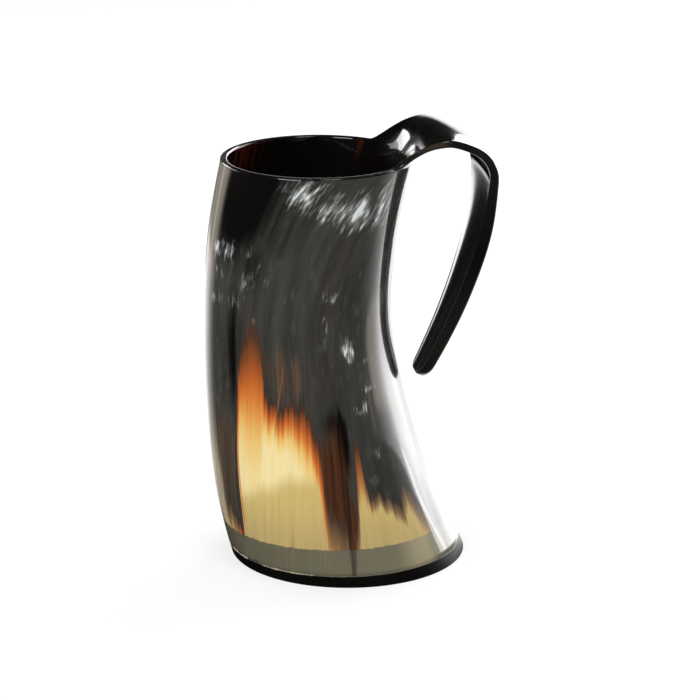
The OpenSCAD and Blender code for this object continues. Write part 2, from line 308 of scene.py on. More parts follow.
def make_horn():
    """The horn wall and the strap as one closed sheet, and what its finish needs to know of each point."""
    points, turns, heights, along, inner, cut = [], [], [], [], [], []

    def put(point, turn, height, strap, inside, edge):
        points.append(point)
        turns.append(turn)
        heights.append(height)
        along.append(strap)
        inner.append(inside)
        cut.append(edge)
        return len(points) - 1

    def front(turn):
        return (math.degrees(turn) + 90 + 180) % 360 - 180

    levels = [HORN_FOOT + (WALL_TOP - HORN_FOOT) * i / WALL_ROWS for i in range(WALL_ROWS + 1)]
    walls = []
    for inside in (0.0, 1.0):
        rings = []
        for z in levels:
            radius = horn_radius(z) - inside * horn_wall(z)
            ring = []
            for i in range(AROUND):
                turn = ring_turn(i)
                place = (horn_middle(z) + radius * math.cos(turn), radius * math.sin(turn), z)
                ring.append(put(place, front(turn), z, 0.0, inside, 0.0))
            rings.append(ring)
        walls.append(rings)

    lengths = strap_rows()
    sections = [strap_section(length) for length in lengths]
    straps = []
    for inside in (0.0, 1.0):
        rows = [walls[int(inside)][-1][:ACROSS + 1]]
        for length, (spine, up, half, bend, wall) in zip(lengths, sections):
            row = []
            reach = bend - inside * wall
            for i in range(ACROSS + 1):
                across = 2 * i / ACROSS - 1
                swing = math.asin(clamp(half / bend, -1, 1)) * across
                middle = spine + up * (bend - reach * math.cos(swing))
                turn = 90 + math.degrees(ROOT_TURN) * across
                row.append(put((middle[0], reach * math.sin(swing), middle[1]), turn,
                               MUG_HEIGHT + length, length / STRAP_LENGTH, inside, 0.0))
            rows.append(row)
        straps.append(rows)

    def edge(rows, rim):
        return (
            [row[0] for row in rows[:-1]] + rows[-1] + [row[-1] for row in rows[-2::-1]] + rim[ACROSS + 1:]
        )

    low_edge = edge(straps[0], walls[0][-1])
    high_edge = edge(straps[1], walls[1][-1])
    count = len(low_edge)
    lips = [low_edge]
    outwards = []
    for i in range(count):
        before, after = Vector(points[low_edge[i - 1]]), Vector(points[low_edge[(i + 1) % count]])
        through = Vector(points[high_edge[i]]) - Vector(points[low_edge[i]])
        outwards.append((after - before).cross(through).normalized())
    for k in range(1, LIP_ROWS + 1):
        share = 0.5 - 0.5 * math.cos(math.pi * k / (LIP_ROWS + 1))
        bulge = EDGE_ROUND * (1 - abs(2 * share - 1) ** LIP_FULLNESS) ** (1 / LIP_FULLNESS)
        lip = []
        for i in range(count):
            low, high = low_edge[i], high_edge[i]
            place = Vector(points[low]).lerp(Vector(points[high]), share) + outwards[i] * bulge
            lip.append(put(place, turns[low], heights[low], along[low], share, 1.0))
        lips.append(lip)
    lips.append(high_edge)

    faces = []
    for rings, turned in ((walls[0], False), (walls[1], True)):
        for low, high in zip(rings, rings[1:]):
            faces += band(low, high, True, turned)
    faces += band(walls[0][0], walls[1][0], True, True)
    for rows, turned in ((straps[0], False), (straps[1], True)):
        for low, high in zip(rows, rows[1:]):
            faces += band(low, high, False, turned)
    for low, high in zip(lips, lips[1:]):
        faces += band(low, high, True)

    horn = new_piece("horn_and_strap", points, faces)
    mesh = horn.data

    def mark(name, values, kind="FLOAT", domain="POINT"):
        layer = mesh.attributes.new(name, kind, domain)
        layer.data.foreach_set("vector" if kind == "FLOAT_VECTOR" else "value", values)

    fibres = [fibre_turn(turn, z) for turn, z in zip(turns, heights)]
    fibre_flat = []
    for fibre, z in zip(fibres, heights):
        fibre_flat += [math.cos(math.radians(fibre)), math.sin(math.radians(fibre)), z / 100]
    mark("fibre", fibre_flat, "FLOAT_VECTOR")
    grain = [0.0] * (3 * len(mesh.loops))
    for face in mesh.polygons:
        first = fibres[mesh.loops[face.loop_start].vertex_index]
        for k in face.loop_indices:
            v = mesh.loops[k].vertex_index
            near = fibres[v] + 360 * round((first - fibres[v]) / 360)
            grain[3 * k:3 * k + 2] = near, heights[v]
    mark("grain", grain, "FLOAT_VECTOR", "CORNER")
    mark("strap", along)
    mark("inside", inner)
    mark("cut_edge", cut)
    mark("haze", [patch_share(FLECKS, turn, z) for turn, z in zip(turns, heights)])
    mark("ink", [patch_share(INK, fibre, z) for fibre, z in zip(fibres, heights)])
    mark("rust", [patch_share(RUST, fibre, z) for fibre, z in zip(fibres, heights)])
    mark("red_glow", [patch_share(RED_GLOW_PATCHES, turn, z) for turn, z in zip(turns, heights)])
    return horn


# Node trees

class Nodes:
    """Adds nodes to a tree: a value, a colour or another node's output goes into each input."""

    def __init__(self, tree):
        self.tree = tree

    def add(self, kind, *values, out=0, **settings):
        node = self.tree.nodes.new(kind)
        named = {}
        for key, value in settings.items():
            if key in node.bl_rna.properties:
                setattr(node, key, value)
            else:
                named[key] = value
        sockets = [s for s in node.inputs if s.enabled]
        for socket, value in zip(sockets, values):
            self.put(socket, value)
        for key, value in named.items():
            self.put(node.inputs[key.replace("_", " ")], value)
        return node.outputs[out] if out is not None else node

    def put(self, socket, value):
        if isinstance(value, bpy.types.NodeSocket):
            self.tree.links.new(value, socket)
        else:
            socket.default_value = value

    def math(self, operation, *values, use_clamp=False):
        return self.add("ShaderNodeMath", *values, operation=operation, use_clamp=use_clamp)

    def vector_math(self, operation, *values):
        return self.add("ShaderNodeVectorMath", *values, operation=operation)

    def combine(self, x=0.0, y=0.0, z=0.0):
        return self.add("ShaderNodeCombineXYZ", x, y, z)

    def split(self, vector):
        return self.add("ShaderNodeSeparateXYZ", vector, out=None).outputs

    def float_curve(self, value, points, handle="AUTO_CLAMPED"):
        node = self.add("ShaderNodeFloatCurve", Value=value, out=None)
        line = node.mapping.curves[0]
        node.mapping.use_clip = False
        for k, (x, y) in enumerate(points):
            point = line.points[k] if k < 2 else line.points.new(x, y)
            point.location = (x, y)
        for point in line.points:
            point.handle_type = handle
        node.mapping.update()
        return node.outputs[0]

    def noise(self, vector, scale=1.0, detail=2.0):
        return self.add("ShaderNodeTexNoise", Vector=vector, Scale=scale, Detail=detail)

    def remap(self, value, low, high, to_low=0.0, to_high=1.0, smooth=True):
        kind = "SMOOTHSTEP" if smooth else "LINEAR"
        return self.add("ShaderNodeMapRange", value, low, high, to_low, to_high, interpolation_type=kind)

    def blend(self, share, first, second, kind="MIX"):
        node = self.add("ShaderNodeMix", data_type="RGBA", blend_type=kind, out=None)
        self.put(node.inputs[0], share)
        self.put(node.inputs[6], first)
        self.put(node.inputs[7], second)
        return node.outputs[2]

    def ramp(self, value, stops):
        node = self.add("ShaderNodeValToRGB", value, out=None)
        for k, (place, colour) in enumerate(stops):
            stop = node.color_ramp.elements[k] if k < 2 else node.color_ramp.elements.new(place)
            stop.position = place
            stop.color = colour
        return node.outputs[0]

    def attribute(self, name, out="Fac"):
        return self.add("ShaderNodeAttribute", attribute_name=name, out=None).outputs[out]


def paint(red, green, blue):
    """A colour as a screen shows it, 0 to 255, made linear."""
    parts = []
    for value in (red, green, blue):
        value /= 255
        parts.append(value / 12.92 if value <= 0.04045 else ((value + 0.055) / 1.055) ** 2.4)
    return (*parts, 1.0)


def new_material(name):
    material = bpy.data.materials.new(name)
    material.use_nodes = True
    nodes = Nodes(material.node_tree)
    return material, nodes, material.node_tree.nodes["Principled BSDF"]


def bump(nodes, shader, strength, distance, height):
    relief = nodes.add("ShaderNodeBump", Strength=strength, Distance=distance, Height=height)
    nodes.put(shader.inputs["Normal"], relief)


def stretched(nodes, fibre, around, along, detail=2.0, offset=0.0):
    """Noise that runs with the fibres: spots per turn radian, and per 100 mm of height."""
    place = nodes.vector_math("MULTIPLY", fibre, (around, around, along))
    if offset:
        place = nodes.vector_math("ADD", place, (offset, offset, offset))
    return nodes.noise(place, 1.0, detail)


# Polished horn

# Where the dark horn ends: fibre turn from the front, height of the dark edge, height of full straw
FRONT_EDGES = (
    (-90, 46, 30), (-80, 40, 24), (-72, 30, 18), (-62, 24, 12), (-54, 20, 9), (-49.5, 16, 7),
    (-48.6, 15, 8), (-47.6, 79, 56), (-45, 84, 56), (-41, 89, 53), (-38, 93, 52), (-35, 92, 52),
    (-32, 88, 53), (-31, 82, 54), (-30, 70, 57), (-27, 67, 56), (-24, 67, 56), (-20, 65, 54),
    (-16, 66, 54), (-13, 66, 53), (-10, 66, 51), (-7.5, 65, 48), (-5, 62, 44), (-2.5, 58, 40),
    (-0.5, 55, 33), (1.2, 49, 23), (3, 30, 10), (6, 25, 4), (9, 23, 2), (11.5, 20, 0), (12.7, 6, -4),
    (13.4, 6, -4), (14.6, 18, 4), (16.5, 25, 10), (18.5, 43, 27), (20.8, 51, 28), (22, 42, 27),
    (23.2, 33, 26), (28, 31.5, 26), (33, 31, 24), (37, 28, 20), (41, 30, 21), (44, 32, 21),
    (47, 30, 16), (52, 23, 8), (60, 12, -2), (72, 10, -4), (90, 14, 0),
)
BACK_EDGES = (
    (90, 14, 0), (104, 26, 14), (116, 38, 24), (126, 44, 26), (134, 30, 14), (146, 18, 6), (160, 34, 18),
    (168, 58, 36), (174, 72, 46), (183, 66, 44), (190, 48, 30), (199, 40, 26), (212, 30, 16), (226, 26, 12),
    (240, 40, 24), (250, 50, 34), (258, 46, 30), (270, 46, 30),
)
EDGE_SCALE = 120.0
SHORTEST_EDGE = 1.2
PLUG_SHOWS_TO = 14.35
BAND_SOFTNESS = 0.25
LEFT_EDGE_TURN = -47.3
LEFT_EDGE_DRIFT = -4.0


class HornFigure:
    """What the layers of the horn's colour share: place on the horn, marks on the mesh, fibre noise."""

    def __init__(self, nodes):
        self.nodes = nodes
        fibre = nodes.attribute("fibre", "Vector")
        grain = nodes.split(nodes.attribute("grain", "Vector"))
        self.turn, self.height = grain[0], grain[1]
        self.fine = stretched(nodes, fibre, 55, 2.2, 3)
        self.medium = stretched(nodes, fibre, 20, 1.3, 3, offset=3.1)
        self.broad = stretched(nodes, fibre, 6, 0.9, 2, offset=7.7)
        self.stroke = stretched(nodes, fibre, 55, 25, 2, offset=1.9)
        self.clump = stretched(nodes, fibre, 14, 16, 3, offset=5.3)
        self.smoke = stretched(nodes, fibre, 9, 3.2, 3, offset=12.3)
        # The straw's left edge comes towards the front as it nears the foot
        low = nodes.remap(self.height, 54, 14, 0.0, LEFT_EDGE_DRIFT)
        self.drift = nodes.math("MULTIPLY", low, nodes.remap(self.turn, -30, -42))
        self.ripeness = self.find_ripeness()

    def off_middle(self, noise, amount, base):
        swing = self.nodes.math("SUBTRACT", noise, 0.5)
        return self.nodes.math("MULTIPLY_ADD", swing, amount, base)

    def by_turn(self, *stops):
        return self.nodes.remap(self.turn, *stops)

    def by_height(self, *stops):
        return self.nodes.remap(self.height, *stops)

    def edge_height(self, column):
        """Height of one of the two edges at this fibre."""
        nodes = self.nodes
        edge_turn = nodes.math("ADD", self.turn, self.drift)
        ahead = nodes.float_curve(
            nodes.remap(edge_turn, -90, 90, smooth=False),
            [((row[0] + 90) / 180, row[column] / EDGE_SCALE) for row in FRONT_EDGES],
        )
        back_turn = nodes.math("WRAP", self.turn, 450, 90)
        behind = nodes.float_curve(
            nodes.remap(back_turn, 90, 270, smooth=False),
            [((row[0] - 90) / 180, row[column] / EDGE_SCALE) for row in BACK_EDGES],
        )
        from_front = nodes.math("ABSOLUTE", nodes.math("WRAP", self.turn, 180, -180))
        in_front = nodes.math("LESS_THAN", from_front, 90)
        both = nodes.add("ShaderNodeMix", in_front, behind, ahead, data_type="FLOAT")
        return nodes.math("MULTIPLY", both, EDGE_SCALE)

    def find_ripeness(self):
        """0 at the ragged edge of the dark horn, 1 in full straw."""
        nodes = self.nodes
        dark_edge, straw_edge = self.edge_height(1), self.edge_height(2)
        ragged = self.off_middle(self.medium, 13.0, self.off_middle(self.fine, 8.0, self.height))
        depth = nodes.math("SUBTRACT", dark_edge, ragged)
        span = nodes.math("MAXIMUM", nodes.math("SUBTRACT", dark_edge, straw_edge), SHORTEST_EDGE)
        return nodes.math("DIVIDE", depth, span)


def straw_colour(nodes, horn):
    """Straw with an orange edge; beside the flame the edges are dull, without orange."""
    ripe_place = nodes.remap(horn.ripeness, -0.3, 1.7, smooth=False)
    flame = nodes.ramp(ripe_place, (
        (0.0, paint(50, 42, 36)), (0.15, paint(72, 46, 32)), (0.25, paint(126, 68, 36)),
        (0.35, paint(174, 88, 38)), (0.45, paint(204, 118, 50)), (0.55, paint(217, 158, 82)),
        (0.66, paint(226, 190, 114)), (0.78, paint(230, 206, 140)), (0.92, paint(232, 213, 156)),
    ))
    dull = nodes.ramp(ripe_place, (
        (0.0, paint(52, 48, 40)), (0.15, paint(70, 58, 46)), (0.35, paint(116, 94, 66)),
        (0.55, paint(166, 140, 94)), (0.8, paint(190, 167, 112)),
    ))
    dull_right = nodes.math("MULTIPLY", horn.by_turn(22.6, 25), horn.by_turn(75, 60))
    dull_left = nodes.math("MULTIPLY", horn.by_turn(-48.2, -50), horn.by_turn(-105, -90))
    fading = nodes.math("MULTIPLY", horn.by_turn(1, 4), horn.by_height(50, 24, 0.35, 0.85))
    fading = nodes.math("MULTIPLY", fading, horn.by_turn(75, 60))
    dullness = nodes.math("MAXIMUM", nodes.math("ADD", dull_right, dull_left), fading)
    pale = nodes.blend(dullness, flame, dull)
    # Painted shade: the straw is painted darker, a tan, towards the foot
    foot_shade_edge = horn.off_middle(horn.broad, 9.0, horn.height)
    foot_shade_edge = nodes.math("ADD", foot_shade_edge, horn.by_turn(-48, 0, 4.0, -4.5))
    foot_shade_share = nodes.remap(foot_shade_edge, 32, 41, 1.0, 0.0)
    foot_shade_share = nodes.math("MULTIPLY", foot_shade_share, nodes.remap(horn.ripeness, 0.6, 1.0))
    shaded_tan = nodes.blend(horn.by_height(34, 15), paint(198, 174, 108), paint(182, 160, 106))
    pale = nodes.blend(foot_shade_share, pale, shaded_tan)
    streaky = nodes.remap(horn.medium, 0.3, 0.75, 0.95, 1.03)
    pale = nodes.blend(1.0, pale, nodes.combine(streaky, streaky, streaky), "MULTIPLY")
    wisps = nodes.math("MULTIPLY", nodes.remap(horn.fine, 0.58, 0.74), horn.by_height(52, 18, 0.05, 0.4))
    return nodes.blend(wisps, pale, paint(146, 104, 58))


def dark_colour(nodes, horn):
    """Charcoal with black clouds, brown clouds and soft streaks."""
    dark = nodes.blend(nodes.remap(horn.smoke, 0.28, 0.72), paint(48, 47, 43), paint(62, 62, 58))
    dark = nodes.blend(nodes.remap(horn.broad, 0.55, 0.75, 0.0, 0.4), dark, paint(62, 50, 41))
    dark = nodes.blend(nodes.remap(horn.medium, 0.46, 0.25, 0.0, 0.25), dark, paint(36, 34, 31))
    dark = nodes.blend(horn.by_turn(6, 34, 0.0, 0.4), dark, paint(38, 37, 34))
    dark = nodes.blend(nodes.remap(horn.clump, 0.54, 0.78, 0.0, 0.4), dark, paint(88, 88, 83))
    clouded = horn.off_middle(horn.broad, 0.5, horn.off_middle(horn.medium, 0.5, nodes.attribute("ink")))
    dark = nodes.blend(nodes.remap(clouded, 0.25, 0.75), dark, paint(9, 8, 7))
    rusty = nodes.remap(horn.off_middle(horn.medium, 0.9, nodes.attribute("rust")), 0.2, 0.75, 0.0, 0.92)
    grained = nodes.remap(horn.off_middle(horn.fine, 0.35, horn.medium), 0.36, 0.68)
    red = nodes.blend(grained, paint(48, 27, 16), paint(84, 46, 24))
    dusky = nodes.blend(grained, paint(64, 53, 44), paint(88, 72, 58))
    brown = nodes.blend(horn.by_turn(-6, 2), dusky, red)
    return nodes.blend(rusty, dark, brown)


def with_painted_side_reflection(nodes, horn, colour):
    """A painted reflection: a pale streak up the left side, weaker in the middle of its height."""
    reflection_turn = nodes.math("ADD", horn.turn, horn.by_height(20, 75, -11.0, 0.0))
    share = nodes.math("MULTIPLY", nodes.remap(reflection_turn, -70, -79), horn.by_turn(-126, -104))
    cloudy = nodes.remap(horn.off_middle(horn.broad, 0.6, horn.medium), 0.3, 0.7, 0.6, 1.0)
    share = nodes.math("MULTIPLY", share, cloudy)
    mid_height = nodes.math("MULTIPLY", horn.by_height(30, 55), horn.by_height(125, 95))
    share = nodes.math("MULTIPLY", share, nodes.remap(mid_height, 0, 1, 1.0, 0.55))
    reflected_cream = nodes.blend(horn.by_height(30, 80), paint(200, 184, 158), paint(162, 153, 141))
    return nodes.blend(share, colour, reflected_cream)


def with_line(nodes, horn, colour, middle, half_width, low, high, strength, tone):
    """A single line or veil along the grain, from one height to another."""
    away = nodes.math("ABSOLUTE", nodes.math("SUBTRACT", horn.turn, middle))
    seen = nodes.remap(away, half_width, half_width * 0.3)
    seen = nodes.math("MULTIPLY", seen, horn.by_height(low - 4, low + 4))
    seen = nodes.math("MULTIPLY", seen, horn.by_height(high + 4, high - 4, 0.0, strength))
    return nodes.blend(seen, colour, tone)


def with_plug_shade_band(nodes, horn, colour):
    """The plug shows through the foot as a grey-green band, dark where it stops the light through the horn:
    painted shade.
    """
    band_edge = horn.off_middle(horn.medium, 1.2, horn.height)
    share = nodes.remap(band_edge, PLUG_SHOWS_TO + BAND_SOFTNESS, PLUG_SHOWS_TO - BAND_SOFTNESS)
    # Painted light: the band is painted lighter towards the right, and paler still at its right end, a
    # painted reflection
    band = nodes.blend(horn.by_turn(-75, 55), paint(82, 80, 66), paint(108, 106, 88))
    band = nodes.blend(nodes.remap(horn.broad, 0.4, 0.7, 0.0, 0.5), band, paint(92, 92, 80))
    right_end_reflection = nodes.math("MULTIPLY", horn.by_turn(30, 42), horn.by_turn(52, 46))
    band = nodes.blend(right_end_reflection, band, paint(146, 138, 112))
    band = nodes.blend(nodes.remap(horn.fine, 0.5, 0.75, 0.0, 0.3), band, paint(124, 121, 102))
    band = nodes.blend(nodes.remap(horn.ripeness, -0.3, 0.5, 0.6, 0.0), band, paint(50, 46, 37))
    return nodes.blend(nodes.math("MULTIPLY", share, 0.95), colour, band)


def with_flecks(nodes, horn, colour):
    """Milky flecks: short strokes in clumps."""
    haze = nodes.attribute("haze")
    milk = horn.off_middle(horn.clump, 2.0, horn.off_middle(horn.stroke, 1.7, haze))
    milk = nodes.math("ADD", nodes.remap(milk, 0.25, 0.9, 0.0, 0.3), nodes.remap(milk, 0.66, 1.1, 0.0, 0.7))
    milk = nodes.math("MULTIPLY", milk, nodes.remap(haze, 0.05, 0.35))
    return nodes.blend(milk, colour, paint(214, 218, 215))


def with_bore_and_strap(nodes, horn, colour, strap):
    """The bore painted dark as painted shade inside the cup, with a painted red glow; the black strap; and
    the lip and edges, worn brown along the strap.
    """
    # Painted shade: the inside is painted dark brown under the straw and near black under the dark horn
    shaded_bore = nodes.blend(nodes.remap(horn.ripeness, -0.2, 0.8, 0.0, 0.8), paint(9, 7, 6), paint(92, 58, 26))
    # A painted red glow on the inside near the mouth
    glint = nodes.math("MULTIPLY", nodes.attribute("red_glow"), nodes.remap(horn.medium, 0.4, 0.75, 0.0, 0.8))
    shaded_bore = nodes.blend(glint, shaded_bore, paint(112, 38, 15))
    colour = nodes.blend(nodes.attribute("inside"), colour, shaded_bore)
    black = nodes.blend(nodes.remap(horn.medium, 0.45, 0.8), paint(6, 6, 5), paint(14, 12, 10))
    colour = nodes.blend(nodes.remap(strap, 0.0, 0.05), colour, black)
    wear = nodes.remap(horn.fine, 0.35, 0.7)
    worn = nodes.blend(wear, paint(12, 11, 10), paint(30, 28, 25))
    arch_worn = nodes.blend(wear, paint(40, 34, 27), paint(76, 68, 55))
    worn = nodes.blend(nodes.remap(strap, 0.05, 0.14), arch_worn, worn)
    cut_edge = nodes.attribute("cut_edge")
    black_lip = nodes.math("MULTIPLY", cut_edge, nodes.remap(horn.medium, 0.3, 0.7, 0.95, 0.75))
    colour = nodes.blend(black_lip, colour, paint(12, 11, 10))
    worn_lip = nodes.math("MULTIPLY", cut_edge, nodes.remap(strap, 0.0, 0.1, 0.0, 0.8))
    return nodes.blend(worn_lip, colour, worn)


def horn_finish():
    material, nodes, shader = new_material("polished_horn_figure")
    horn = HornFigure(nodes)
    strap = nodes.attribute("strap")

    dark, pale = dark_colour(nodes, horn), straw_colour(nodes, horn)
    colour = nodes.blend(nodes.remap(horn.ripeness, -0.28, 0.12), dark, pale)
    # A pale streak painted up the left side: a painted reflection
    colour = with_painted_side_reflection(nodes, horn, colour)
    # An orange hair above the straw that bends as it rises, the orange line down the straw's left
    # edge, and the pale veil and lines on the right
    rise = nodes.math("DIVIDE", nodes.math("SUBTRACT", horn.height, 45), 38)
    bent = nodes.math("MULTIPLY_ADD", nodes.math("MULTIPLY", rise, rise), 6.7, -24.0)
    left_edge = nodes.math("SUBTRACT", LEFT_EDGE_TURN, horn.drift)
    for line in (
        (bent, 0.7, 56, 82, 0.45, paint(150, 88, 46)),
        (left_edge, 0.9, 18, 76, 0.75, paint(196, 96, 34)),
        (45, 10.0, 62, 104, 0.32, paint(138, 132, 120)),
        (38.5, 3.0, 64, 98, 0.6, paint(112, 102, 88)),
        (33.6, 1.6, 56, 74, 0.35, paint(104, 94, 78)),
    ):
        colour = with_line(nodes, horn, colour, *line)
    # The plug's shade through the foot, painted as a grey-green band
    colour = with_plug_shade_band(nodes, horn, colour)
    # A dark line that runs on down through the band
    for line in (
        (13.0, 0.9, 18, 40, 0.75, paint(34, 24, 16)),
        (13.0, 0.8, 1, 16, 0.5, paint(56, 50, 38)),
    ):
        colour = with_line(nodes, horn, colour, *line)
    colour = with_flecks(nodes, horn, colour)
    colour = with_bore_and_strap(nodes, horn, colour, strap)
    nodes.put(shader.inputs["Base Color"], colour)

    polish = nodes.remap(horn.medium, 0.3, 0.75, 0.2, 0.3)
    polish = nodes.math("MULTIPLY", polish, nodes.remap(strap, 0.0, 0.06, 1.0, 0.5))
    nodes.put(shader.inputs["Roughness"], polish)
    relief = nodes.math("MULTIPLY", horn.clump, 0.5)
    relief = nodes.math("ADD", relief, nodes.math("MULTIPLY", horn.medium, 0.5))
    bump(nodes, shader, nodes.remap(strap, 0.0, 0.06, 0.1, 0.02), 0.0003, relief)
    shader.inputs["IOR"].default_value = 1.5
    shader.inputs["Specular IOR Level"].default_value = 0.08
    shader.inputs["Coat Weight"].default_value = 0.9
    shader.inputs["Coat Roughness"].default_value = 0.05
    return material


def black_finish():
    material, nodes, shader = new_material("black_plate_horn")
    place = nodes.add("ShaderNodeTexCoord", out=None).outputs["Object"]
    cloud = nodes.noise(place, 90, 4)
    rub = nodes.noise(nodes.vector_math("MULTIPLY", place, (60, 60, 900)), 1.0, 3)
    nodes.put(shader.inputs["Base Color"], nodes.blend(cloud, paint(6, 6, 5), paint(16, 15, 13)))
    nodes.put(shader.inputs["Roughness"], nodes.remap(rub, 0.3, 0.7, 0.28, 0.45))
    bump(nodes, shader, 0.2, 0.0002, rub)
    shader.inputs["Specular IOR Level"].default_value = 0.12
    return material


def glue_finish():
    material, nodes, shader = new_material("dried_glue")
    place = nodes.add("ShaderNodeTexCoord", out=None).outputs["Object"]
    cloud = nodes.noise(place, 700, 3)
    nodes.put(shader.inputs["Base Color"], nodes.blend(cloud, paint(104, 96, 75), paint(222, 212, 184)))
    nodes.put(shader.inputs["Roughness"], nodes.remap(cloud, 0.3, 0.7, 0.4, 0.6))
    return material


def plug_finish():
    material, nodes, shader = new_material("sealed_plug_wood")
    place = nodes.add("ShaderNodeTexCoord", out=None).outputs["Object"]
    bent = nodes.vector_math("MULTIPLY_ADD", nodes.noise(place, 30, 2), (0.004, 0.004, 0.004), place)
    lines = nodes.noise(nodes.vector_math("MULTIPLY", bent, (40, 900, 900)), 1.0, 4)
    pores = nodes.noise(nodes.vector_math("MULTIPLY", place, (300, 3000, 3000)), 1.0, 2)
    tones = ((0.3, paint(62, 50, 34)), (0.55, paint(96, 78, 50)), (0.75, paint(44, 35, 24)))
    wood = nodes.ramp(lines, tones)
    wood = nodes.blend(nodes.remap(pores, 0.6, 0.75, 0.0, 0.7), wood, paint(24, 18, 12))
    nodes.put(shader.inputs["Base Color"], wood)
    nodes.put(shader.inputs["Roughness"], nodes.remap(lines, 0.3, 0.8, 0.28, 0.45))
    bump(nodes, shader, 0.3, 0.0002, lines)
    return material


def resin_finish():
    material, nodes, shader = new_material("amber_resin")
    place = nodes.add("ShaderNodeTexCoord", out=None).outputs["Object"]
    cloud = nodes.noise(place, 160, 3)
    nodes.put(shader.inputs["Base Color"], nodes.blend(cloud, paint(84, 52, 22), paint(176, 122, 56)))
    nodes.put(shader.inputs["Roughness"], nodes.remap(cloud, 0.3, 0.7, 0.08, 0.2))
    bump(nodes, shader, 0.3, 0.0003, cloud)
    shader.inputs["Coat Weight"].default_value = 0.5
    return material


# Geometry Nodes pieces

def new_tree(name, sizes):
    """A Geometry Nodes tree with a named number for each size; returns it, its nodes and those inputs."""
    tree = bpy.data.node_groups.new(name, "GeometryNodeTree")
    tree.interface.new_socket("Geometry", in_out="OUTPUT", socket_type="NodeSocketGeometry")
    identifiers = {}
    for key, value in sizes.items():
        whole = isinstance(value, int)
        socket = tree.interface.new_socket(
            key, in_out="INPUT", socket_type="NodeSocketInt" if whole else "NodeSocketFloat"
        )
        identifiers[key] = socket.identifier
    nodes = Nodes(tree)
    given = nodes.add("NodeGroupInput", out=None).outputs
    return tree, nodes, given, identifiers


def grow(name, tree, nodes, mesh_socket, material, sizes, identifiers):
    """Ends the tree, runs it on an empty mesh and keeps the result as a plain piece."""
    real = nodes.add("GeometryNodeRealizeInstances", mesh_socket)
    smooth = nodes.add("GeometryNodeSetShadeSmooth", real)
    dressed = nodes.add("GeometryNodeSetMaterial", smooth, Material=material)
    nodes.add("NodeGroupOutput", dressed, out=None)
    holder = bpy.data.objects.new(name + "_tree", bpy.data.meshes.new(name + "_empty"))
    scene.collection.objects.link(holder)
    modifier = holder.modifiers.new("grow", "NODES")
    modifier.node_group = tree
    for key, value in sizes.items():
        modifier[identifiers[key]] = value
    grown = holder.evaluated_get(bpy.context.evaluated_depsgraph_get())
    mesh = bpy.data.meshes.new_from_object(grown)
    mesh.name = name
    holder.modifiers.remove(modifier)
    bpy.data.objects.remove(holder)
    piece = bpy.data.objects.new(name, mesh)
    scene.collection.objects.link(piece)
    return piece


def make_plate(material):
    sizes = {
        "Steps": AROUND, "Foot radius": horn_radius(0) * MM, "Top radius": horn_radius(PLATE_THICKNESS) * MM,
        "Foot shift": horn_middle(0) * MM, "Top shift": horn_middle(PLATE_THICKNESS) * MM,
        "Thickness": PLATE_THICKNESS * MM, "Edge": PLATE_EDGE * MM,
    }
    tree, nodes, given, identifiers = new_tree("ground_plate", sizes)
    disc = nodes.add("GeometryNodeMeshCylinder", fill_type="TRIANGLE_FAN", out=None)
    nodes.put(disc.inputs["Vertices"], given["Steps"])
    nodes.put(disc.inputs["Side Segments"], PLATE_ROWS)
    nodes.put(disc.inputs["Fill Segments"], PLATE_RINGS)
    nodes.put(disc.inputs["Radius"], 1.0)
    nodes.put(disc.inputs["Depth"], 1.0)
    at = nodes.split(nodes.add("GeometryNodeInputPosition"))
    share = nodes.math("POWER", nodes.math("ADD", at[2], 0.5, use_clamp=True), PLATE_CROWDING)
    up = nodes.math("MULTIPLY", share, given["Thickness"])

    def rounding(distance):
        left = nodes.math("SUBTRACT", 1.0, nodes.math("DIVIDE", distance, given["Edge"]), use_clamp=True)
        fall = nodes.math("SQRT", nodes.math("SUBTRACT", 1.0, nodes.math("MULTIPLY", left, left)))
        return nodes.math("MULTIPLY", nodes.math("SUBTRACT", 1.0, fall), given["Edge"])

    radius = nodes.add("ShaderNodeMix", share, given["Foot radius"], given["Top radius"], data_type="FLOAT")
    radius = nodes.math("SUBTRACT", radius, rounding(up))
    shift = nodes.add("ShaderNodeMix", share, given["Foot shift"], given["Top shift"], data_type="FLOAT")
    x = nodes.math("MULTIPLY_ADD", at[0], radius, shift)
    y = nodes.math("MULTIPLY", at[1], radius)
    placed = nodes.add("GeometryNodeSetPosition", disc.outputs["Mesh"], Position=nodes.combine(x, y, up))
    return grow("ground_base_plate", tree, nodes, placed, material, sizes, identifiers)


# Round the bead's section: how far round, share of its size inwards, share of its size upwards
BEAD_SECTION = (
    (0, 0, 0), (0.25, 1, 0), (0.38, 0.62, 0.08), (0.5, 0.29, 0.29), (0.62, 0.08, 0.62), (0.75, 0, 1),
    (1, 0, 0),
)


